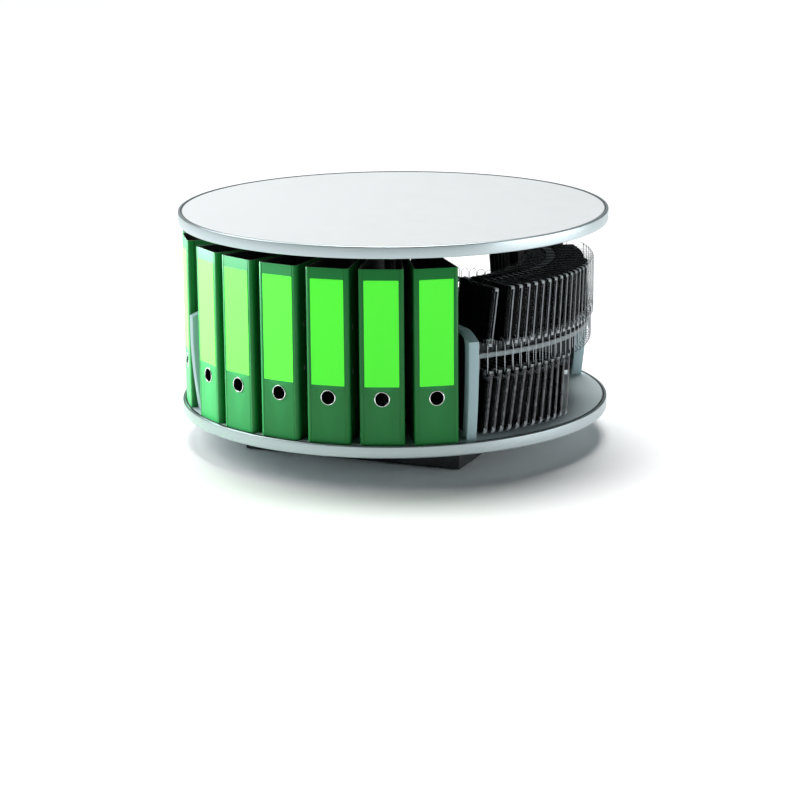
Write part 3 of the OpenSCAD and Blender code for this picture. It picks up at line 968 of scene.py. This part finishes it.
def lower_pocket():
    o = 378.0
    pts = [(248, -108), (o, -108), (o, 9), (374.8, 9), (374.8, -6), (354, -6), (354, 9), (314, 9), (308, 5), (284, 5), (280, 9), (274, 9), (274, -6), (248, -6)]
    rad = [5.0, 9.0, 1.0, 1.0, 1.5, 3.0, 1.5, 3.0, 2.5, 2.5, 2.5, 1.5, 3.0, 1.5]
    core = [(250.5, -106), (363, -106), (367, -99), (367, -8.5), (352, -8.5), (352, 6.4), (316, 6.4), (310, 2.2), (282, 2.2), (279, 6.4), (276, 6.4), (276, -8.5), (250.5, -8.5)]
    b = sleeve(pts, rad, core, [4, 4, 4, 2, 1, 2, 2, 2, 2, 1, 1, 1, 2])
    for r in (RING_I, RING_O):     # thin ears with a window for the loop
        x1 = r + (12.0 if r > 300 else 14.0)
        outer = round_poly([(r - 14, -10), (x1, -10), (x1, 9), (r - 14, 9)], [0.5, 0.5, 2.5, 2.5], 4)
        hole = round_poly([(r - 8.6, -4), (r + 8.6, -4), (r + 8.6, 6.5), (r - 8.6, 6.5)], 2.5, 4)
        b.add(frame_plate(outer, hole, -0.6, 0.6), LINE)
    # outer edge of the lower sleeve in the darker film edge, painted shade
    b.add(ribbon([(o, z) for z in np.linspace(-98, 7, 14)], -0.9, 3.5, 0.7), SHADED_EDGE)
    # pale top corner of the lower sleeve, partly painted highlight
    b.add(ribbon([(o, 4.5), (o, 7.6)] + arc(o - 1.4, 7.6, 1.4, 0, 90, 3) + [(374.9, 9)], -3.5, 3.5, 0.7), CAP_HIGHLIGHT)
    # curled foot where the fold runs round the lower corner, pale as partly painted highlight
    b.add(ribbon([(355, -108)] + arc(o - 9, -99, 9, -90, 0, 8) + [(o, -95)], -3.5, 3.5, 0.8), CAP_HIGHLIGHT)
    b.add(ribbon([(248.0, z) for z in np.linspace(-8, -103, 12)], -3.5, 3.5, 0.8), CORE)
    for s in (-1, 1):
        path = round_poly([(254, -100), (363, -100), (363, -14), (254, -14)], 6, 4)
        path = np.column_stack([path[:, 0], np.full(len(path), 3.56 * s), path[:, 1]])
        b.add(tube(path, 0.25, 6, closed=True), CORE)
    return b


def frame_plate(outer, hole, y0, y1):
    """A flat plate with one window. Both outlines have the same number of points and start at matching corners."""
    n = len(outer)
    v = []
    for poly, y in ((outer, y0), (outer, y1), (hole, y1), (hole, y0)):
        v.append(np.column_stack([poly[:, 0], np.full(n, y), poly[:, 1]]))
    f = []
    for r in range(4):
        r1 = (r + 1) % 4
        for k in range(n):
            k1 = (k + 1) % n
            f.append((r * n + k, r * n + k1, r1 * n + k1, r1 * n + k))
    return np.vstack(v), f


SLEEVE_MATS = [M_FILM, M_EDGE, M_CORE, M_TAB_AND_HIGHLIGHT, M_EDGE_PAINTED_SHADE, M_LINE]


def lean_up(i):
    return 7.5 if i < 2 else 6.0


def lean_low(i):
    return 5 + 4.5 * math.exp(-(((i - 5) / 4) ** 2))


up_shape, rear_shape, low_shape = upper_pocket(1.2).shape(), upper_pocket(2.6).shape(), lower_pocket().shape()


def up_at(q, i, lean):
    return RZ(loop_az(q, i)) @ T(0, 0, PIVOT_UP) @ RX(-lean)


def low_at(i):
    return RZ(loop_az(Q_POCKET, i)) @ T(0, 0, PIVOT_LO) @ RX(-lean_low(i))


def pockets(name, body, node, shape, matrices):
    b = Build()
    for x in matrices:
        b.add(shape, None, x)
    place(name, b.mesh(name, SLEEVE_MATS, 35), body, [node])


b = Build()
far_shape = upper_pocket(1.2, 359.0).shape()
for i in range(5, 29):
    b.add(up_shape if i < 21 else far_shape, None, up_at(Q_POCKET, i, lean_up(i)))
place("upper_sleeves", b.mesh("upper_sleeves", SLEEVE_MATS, 35), "carousel", ["upper_pockets_rest"])
pockets("lower_sleeves", "carousel", "lower_pockets_rest", low_shape, [low_at(i) for i in range(1, 10)])
pockets("rear_sleeves", "carousel", "rear_pockets_rest", rear_shape, [up_at(Q_REAR, i, 6.0) for i in range(4)])
for k, i in ((1, 1), (2, 3), (3, 4)):
    pockets("upper_sleeve_%d" % k, "upper_pocket_%d" % k, "upper_pocket_%d" % k, up_shape, [up_at(Q_POCKET, i, lean_up(i))])
for i in (10, 11, 12):
    pockets("lower_sleeve_%d" % i, "lower_pocket_%d" % i, "lower_pocket_%d" % i, low_shape, [low_at(i)])
for k, i in ((1, 5), (2, 4)):
    pockets("rear_sleeve_%d" % k, "rear_pocket_%d" % k, "rear_pocket_%d" % k, rear_shape, [up_at(Q_REAR, i, 6.0)])


# ------------------------------------------------------------------ lever-arch files
def cover_outline():
    """Plan of the folded cover: out along one board, round the spine, back along the other, then the inner face.
    Returns points and a mark for each side: 0 outside, 1 inside."""
    hw = FILE_W / 2
    pts, mark = [], []

    def half(x):
        return FORE_HALF + (hw - FORE_HALF) * (x - FORE_R) / (FILE_R - 4 - FORE_R)
    # lower board (negative side), outer face; a shallow fold line 9 mm from the spine
    xs = [FORE_R, 380.0, 381.2, 382.8, 384.0]
    for x, d in zip(xs, (0, 0, 0.35, 0.35, 0)):
        pts.append((x, -half(x) + d))
    c = (FILE_R - 5.8, -hw + 5.8)
    for k in range(13):
        a = math.radians(-96 + 96 * k / 12)
        pts.append((c[0] + 5.8 * math.cos(a), c[1] + 5.8 * math.sin(a)))
    for y, d in ((-32.9, 0), (-32.4, 0.4), (-31.7, 0.4), (-31.2, 0.0), (0.0, 0.0), (31.2, 0.0), (31.7, 0.4), (32.4, 0.4), (32.9, 0.0)):
        pts.append((FILE_R - d, y))
    for k in range(13):
        a = math.radians(96 * k / 12)
        pts.append((c[0] + 5.8 * math.cos(a), -c[1] + 5.8 * math.sin(a)))
    for x, d in zip(xs[::-1], (0, 0.35, 0.35, 0, 0)):
        pts.append((x, half(x) - d))
    n_out = len(pts)
    # inner face, back the other way
    inner = [(FORE_R, half(FORE_R) - BOARD), (FILE_R - 7.0, hw - BOARD - 0.9)]
    for k in range(1, 5):
        a = math.radians(84 - 84 * k / 5)
        inner.append((FILE_R - 5.6 + 3.2 * math.cos(a), hw - 6.2 + 3.4 * math.sin(a)))
    inner.append((FILE_R - BOARD, hw - 6.4))
    inner += [(x, -y) for x, y in inner[::-1]]
    pts += inner
    # mark 3: board faces away from the spine, which take the half-tone film as painted shade
    mark = [3 if abs(pts[k][0] + pts[k + 1][0]) < 2 * (FILE_R - 12) else 0 for k in range(n_out - 1)] + [2] + [1] * (len(inner) - 1) + [2]
    return np.array(pts), mark


def cover_mesh():
    poly, mark = cover_outline()
    if area2(poly) < 0:
        raise ValueError("the outline runs the wrong way")
    n = len(poly)
    rings = [(0.5, 0.0), (0.15, 0.15), (0.0, 0.5), (0.0, FILE_H * 0.33), (0.0, FILE_H * 0.66), (0.0, FILE_H - 0.5), (0.15, FILE_H - 0.15), (0.5, FILE_H)]
    v, f, fm = [], [], []
    for d, h in rings:
        q = inset(poly, d) if d else poly
        v.append(np.column_stack([q, np.full(n, h)]))
    f += [tuple(range(n - 1, -1, -1)), tuple(range((len(rings) - 1) * n, len(rings) * n))]
    fm += [2, 2]
    for r in range(len(rings) - 1):
        for k in range(n):
            a, c = r * n + k, r * n + (k + 1) % n
            f.append((a, c, c + n, a + n))
            fm.append(mark[k])
    b = Build().add((np.vstack(v), f, fm), [0, 1, 2, 3])
    me = b.mesh("cover_blank", [M_COVER, M_LINING, M_BOARD_EDGE, M_SIDE_PAINTED_SHADE], 30)
    # finger hole
    o = bpy.data.objects.new("cover_blank", me)
    scene.collection.objects.link(o)
    cut = Build().add(lathe([(0.001, -12), (12.6, -12), (12.6, 12), (0.001, 12)], 64), 0, T(FILE_R, 0, FINGER_Z) @ RY(90))
    cm = cut.mesh("finger_cut", [M_LINING], 0)
    co = bpy.data.objects.new("finger_cut", cm)
    scene.collection.objects.link(co)
    mod = o.modifiers.new("hole", "BOOLEAN")
    mod.operation, mod.solver, mod.object = "DIFFERENCE", "EXACT", co
    bpy.context.view_layer.update()
    done = bpy.data.meshes.new_from_object(o.evaluated_get(bpy.context.evaluated_depsgraph_get()))
    done.name = "file_cover"
    bpy.data.objects.remove(o)
    bpy.data.objects.remove(co)
    bpy.data.meshes.remove(me)
    bpy.data.meshes.remove(cm)
    done.set_sharp_from_angle(angle=math.radians(30))
    return done


def label_mesh():
    z0, z1 = FILE_H - 20 - 192, FILE_H - 20
    p = round_poly([(-30.75, z0), (30.75, z0), (30.75, z1), (-30.75, z1)], 1.5, 4)
    b = Build().add(prism(p, FILE_R - 0.05, FILE_R + 0.35, 0.12, 2, "yz")[:2], 0)
    return b.mesh("file_label", [M_LABEL], 10)


def ring_mesh():
    xf = T(FILE_R, 0, FINGER_Z) @ RY(90)
    flange = [(12.45, 0.05), (12.25, 0.25), (12.2, 0.55), (12.45, 0.95), (12.9, 1.15), (13.4, 1.05), (13.75, 0.7), (13.9, 0.3), (13.9, -0.02), (12.58, -0.02)]
    b = Build().add(lathe(flange, 72), 0, xf)
    b.add(lathe([(12.55, -3.4), (12.15, -3.4), (12.05, -2.9), (12.05, 0.2), (12.2, 0.5), (12.55, 0.45)], 72), 1, xf)
    # inner washer
    b.add(lathe([(12.3, -3.3), (15.2, -3.3), (15.2, -2.5), (12.6, -2.42)], 72), 0, xf)
    return b.mesh("finger_ring", [M_RING, M_COLLAR], 40)


def board_frame(sign):
    """From board coordinates (along from the fore edge, inwards, up) to the file's own. sign -1 is the smaller-angle board."""
    hw = FILE_W / 2
    a = math.atan((hw - FORE_HALF) / (FILE_R - 4 - FORE_R))
    return T(FORE_R, sign * (FORE_HALF - BOARD), 0) @ RZ(math.degrees(sign * a))


def eyelet_mesh():
    """Two oval metal eyelets through the board on the larger-angle side, where the arches close."""
    b = Build()
    xf = board_frame(1)
    for z in (129.0, 209.0):
        def oval(hw, hh, n=32):
            return np.array([(hw * math.cos(2 * math.pi * k / n), hh * math.sin(2 * math.pi * k / n)) for k in range(n)])
        rings = [(oval(2.0, 4.6), -0.55), (oval(2.0, 4.6), 2.9), (oval(2.35, 5.0), 3.15), (oval(3.1, 5.8), 3.1), (oval(3.4, 6.1), 2.55),
                 (oval(2.5, 5.1), 2.5), (oval(2.5, 5.1), -0.1), (oval(3.2, 5.9), -0.15), (oval(3.0, 5.7), -0.5)]
        n = 32
        v = np.vstack([np.column_stack([256.0 + p[:, 0], np.full(n, y), z + p[:, 1]]) for p, y in rings])
        f = []
        for r in range(len(rings)):
            r1 = (r + 1) % len(rings)
            for k in range(n):
                k1 = (k + 1) % n
                f.append((r * n + k, r * n + k1, r1 * n + k1, r1 * n + k)[::-1])
        b.add((v, f), 0, xf)
    return b.mesh("rado_eyelets", [M_EYELET_PAINTED_SHADE], 40)


def arch_mesh():
    """Lever-arch mechanism on the smaller-angle board, in board coordinates."""
    b = Build()
    x0, zc = 214.0, 169.0
    # stamped base plate with rounded corners and two pressed ribs
    p = round_poly([(x0, zc - 72), (x0 + 44, zc - 72), (x0 + 44, zc + 72), (x0, zc + 72)], 5, 5)
    b.add(prism(p, -1.75, -0.35, 0.3, 2, "xz")[:2])
    for dx in (16.5, 30.0):
        path = [(x0 + dx, 1.6, zc + t) for t in np.linspace(-62, 62, 14)]
        b.add(tube(path, np.concatenate([[0.2], np.full(12, 1.1), [0.2]]), 8))
    # folded channel that carries the shaft
    for s in (-1, 1):
        q = round_poly([(x0 + 2.5, 1.0), (x0 + 13.5, 1.0), (x0 + 13.5, 9.0), (x0 + 8, 12.0), (x0 + 2.5, 9.0)], [0.4, 0.4, 2, 3, 2], 4)
        b.add(prism(q, zc + s * 56 - 0.8, zc + s * 56 + 0.8, 0.25, 2)[:2])
    b.add(tube([(x0 + 8, 8.2, zc - 58), (x0 + 8, 8.2, zc), (x0 + 8, 8.2, zc + 58)], 2.4, 14))
    b.add(rbox(x0 + 3, x0 + 13, 1.2, 3.0, zc - 55, zc + 55, 0.5, 2))
    # coil spring round the shaft
    coil = [(x0 + 8 + 3.6 * math.cos(t), 8.2 + 3.6 * math.sin(t), zc - 12 + 24 * t / (18 * math.pi)) for t in np.linspace(0, 18 * math.pi, 200)]
    b.add(tube(coil, 0.65, 6))
    for s in (-1, 1):
        z = zc + 40 * s
        # fixed post with a drawn collar and an open, chamfered tip
        b.add(lathe([(0.001, 0.0), (4.2, 0.0), (4.0, 0.9), (2.6, 1.8), (2.25, 3.2), (2.2, 33.5), (1.7, 36.6), (1.3, 36.8), (1.25, 34.0), (0.001, 33.8)], 28), 0,
              T(x0 + 36, 0.4, z) @ RX(-90))
        # turning arch: up from the shaft, round and down to the post
        pts = [(x0 + 8, 8.2, z), (x0 + 8, 20.0, z), (x0 + 8, 32.0, z)]
        for k in range(0, 13):
            a = math.pi - math.pi * k / 12
            pts.append((x0 + 22 + 14 * math.cos(a), 36.2 + 14 * math.sin(a), z))
        b.add(tube(pts, 1.75, 14))
        b.add(lathe([(1.9, -4.2), (3.4, -4.2), (3.7, -3.6), (3.7, 3.6), (3.4, 4.2), (1.9, 4.2)], 28), 0, T(x0 + 8, 8.2, z))
    # lever: tapering folded strap with a rolled handle at its free end
    prof = smooth_path([(0, 9.2), (10, 8.2), (24, 6.4), (44, 5.6), (62, 6.6), (72, 9.5)], 4)
    n = len(prof)
    for k in range(n - 1):
        pass
    vs, fs = [], []
    for k, (dz, h) in enumerate(prof):
        wd = 7.0 - 2.2 * k / (n - 1)
        for dx, dh in ((-wd, 0), (wd, 0), (wd, 1.4), (-wd, 1.4)):
            vs.append((x0 + 17 + dx * 0.9, h + dh - 1.2, zc - dz + 4))
    for k in range(n - 1):
        for j in range(4):
            a, c = k * 4 + j, k * 4 + (j + 1) % 4
            fs.append((a, a + 4, c + 4, c))
    fs += [(0, 1, 2, 3), tuple((n - 1) * 4 + j for j in (3, 2, 1, 0))]
    b.add((np.array(vs), fs))
    b.add(tube([(x0 + 12, 9.6, zc - 69.0), (x0 + 17, 9.6, zc - 69.6), (x0 + 22, 9.6, zc - 69.0)], 2.3, 12))
    # rivets
    for dx, dz in ((40, 60), (40, -60), (18, 64), (18, -64)):
        b.add(lathe([(0.001, 0), (3.2, 0), (3.0, 0.8), (1.8, 1.5), (0.001, 1.75)], 24), 0, T(x0 + dx, 0.35, zc + dz) @ RX(-90))
    v, f, m = b.shape()
    # board coordinates to the file's own
    c = Build().add((v, f), 0, board_frame(-1) @ T(0, 0.15, 0))
    return c.mesh("lever_arch", [M_NICKEL], 40)


COVER, LABEL, RING, EYELET, ARCH = cover_mesh(), label_mesh(), ring_mesh(), eyelet_mesh(), arch_mesh()
for n in range(1, 13):
    body = "file_%d" % n
    m = RZ(file_az(n)) @ T(0, 0, FOOT_Z * mm)
    place(body + "_folded_cover", COVER, body, [body + "_cover"], m)
    place(body + "_label", LABEL, body, (), m)
    place(body + "_finger_ring", RING, body, (), m)
    place(body + "_eyelets", EYELET, body, (), m)
    place(body + "_arch_mechanism", ARCH, body, [body + "_lever_arch"], m)


# ------------------------------------------------------------------ floor, light, camera
def floor_mat():
    m = Mat("pale_floor", (0.98, 0.985, 0.99), 0.6, Specular_IOR_Level=0.15)
    m.vary(0.012, 1.2)
    m.grain(60.0, 0.03, 0.0004)
    return m.m


me = bpy.data.meshes.new("floor")
g = 24
co = [(x, y, 0.0) for y in np.linspace(-30, 30, g) for x in np.linspace(-30, 30, g)]
me.from_pydata(co, [], [(j * g + i, j * g + i + 1, (j + 1) * g + i + 1, (j + 1) * g + i) for j in range(g - 1) for i in range(g - 1)])
me.materials.append(floor_mat())
floor = bpy.data.objects.new("floor", me)
scene.collection.objects.link(floor)

world = bpy.data.worlds.new("studio")
scene.world = world
world.use_nodes = True
world.node_tree.nodes["Background"].inputs["Color"].default_value = (0.80, 0.96, 1.0, 1.0)
world.node_tree.nodes["Background"].inputs["Strength"].default_value = 0.04

CAM_AZ = 22.42


def area(name, az, dist, height, size, watts, target=(0, 0, 0.25), colour=(1, 1, 1), size_y=None):
    """A soft box. az is counted from the camera's side of the object, positive to its right."""
    a = math.radians(CAM_AZ + az)
    d = bpy.data.lights.new(name, "AREA")
    d.shape = "RECTANGLE"
    d.size, d.size_y = size, size_y or size
    d.energy = watts
    d.color = colour
    o = bpy.data.objects.new(name, d)
    o.location = (dist * math.sin(a), -dist * math.cos(a), height)
    scene.collection.objects.link(o)
    v = Vector(target) - o.location
    o.rotation_euler = v.to_track_quat("-Z", "Y").to_euler()
    return o


def sun(name, az, elevation, spread, strength):
    d = bpy.data.lights.new(name, "SUN")
    d.energy, d.angle = strength, math.radians(spread)
    o = bpy.data.objects.new(name, d)
    scene.collection.objects.link(o)
    a, h = math.radians(CAM_AZ + az), math.radians(elevation)
    v = Vector((math.cos(h) * math.sin(a), -math.cos(h) * math.cos(a), math.sin(h)))
    o.rotation_euler = v.to_track_quat("Z", "Y").to_euler()
    return o


sun("ceiling", 180, 68, 35, 3.55)
area("left_box", -95, 2.6, 2.4, 3.0, 66, size_y=2.0)
area("left_back_box", -120, 2.4, 2.4, 1.4, 18)
area("right_strip", 80, 3.0, 0.45, 3.2, 28, size_y=0.8)
# soft boxes that are aimed at the files alone
aimed = bpy.data.collections.new("aimed_at_files")
for o in scene.objects:
    if o.type == "MESH" and o.name.startswith("file_") and not o.name.endswith(("_ring", "_eyelets")):
        aimed.objects.link(o)
for name, az, w, watts in (("files_left", -110, 1.2, 590), ("files_left_back", -150, 0.9, 25), ("files_left_front", -60, 0.9, 4)):
    area(name, az, 3.0, 1.3, w, watts, colour=(0.80, 0.94, 1.0), size_y=1.2).light_linking.receiver_collection = aimed

cam = bpy.data.cameras.new("camera")
cam.sensor_width = 36.0
cam.lens = 36.0 * 2682.1 / 800.0
cam.clip_start, cam.clip_end = 0.1, 200.0
co = bpy.data.objects.new("camera", cam)
scene.collection.objects.link(co)
yaw, pitch, roll = (math.radians(t) for t in (-22.3066, -14.2340, -0.4767))
fw = Vector((math.sin(yaw) * math.cos(pitch), math.cos(yaw) * math.cos(pitch), math.sin(pitch)))
right = Vector((math.cos(yaw), -math.sin(yaw), 0.0))
up = right.cross(fw)
r2 = right * math.cos(roll) + up * math.sin(roll)
u2 = up * math.cos(roll) - right * math.sin(roll)
rot = Matrix((r2, u2, -fw)).transposed().to_4x4()
co.matrix_world = Matrix.Translation((1.9018, -4.6095, 1.3277)) @ rot
scene.camera = co

scene.cycles.transparent_max_bounces = 64        # many clear sleeves stand behind each other
scene.view_settings.view_transform = "Standard"
scene.view_settings.look = "None"
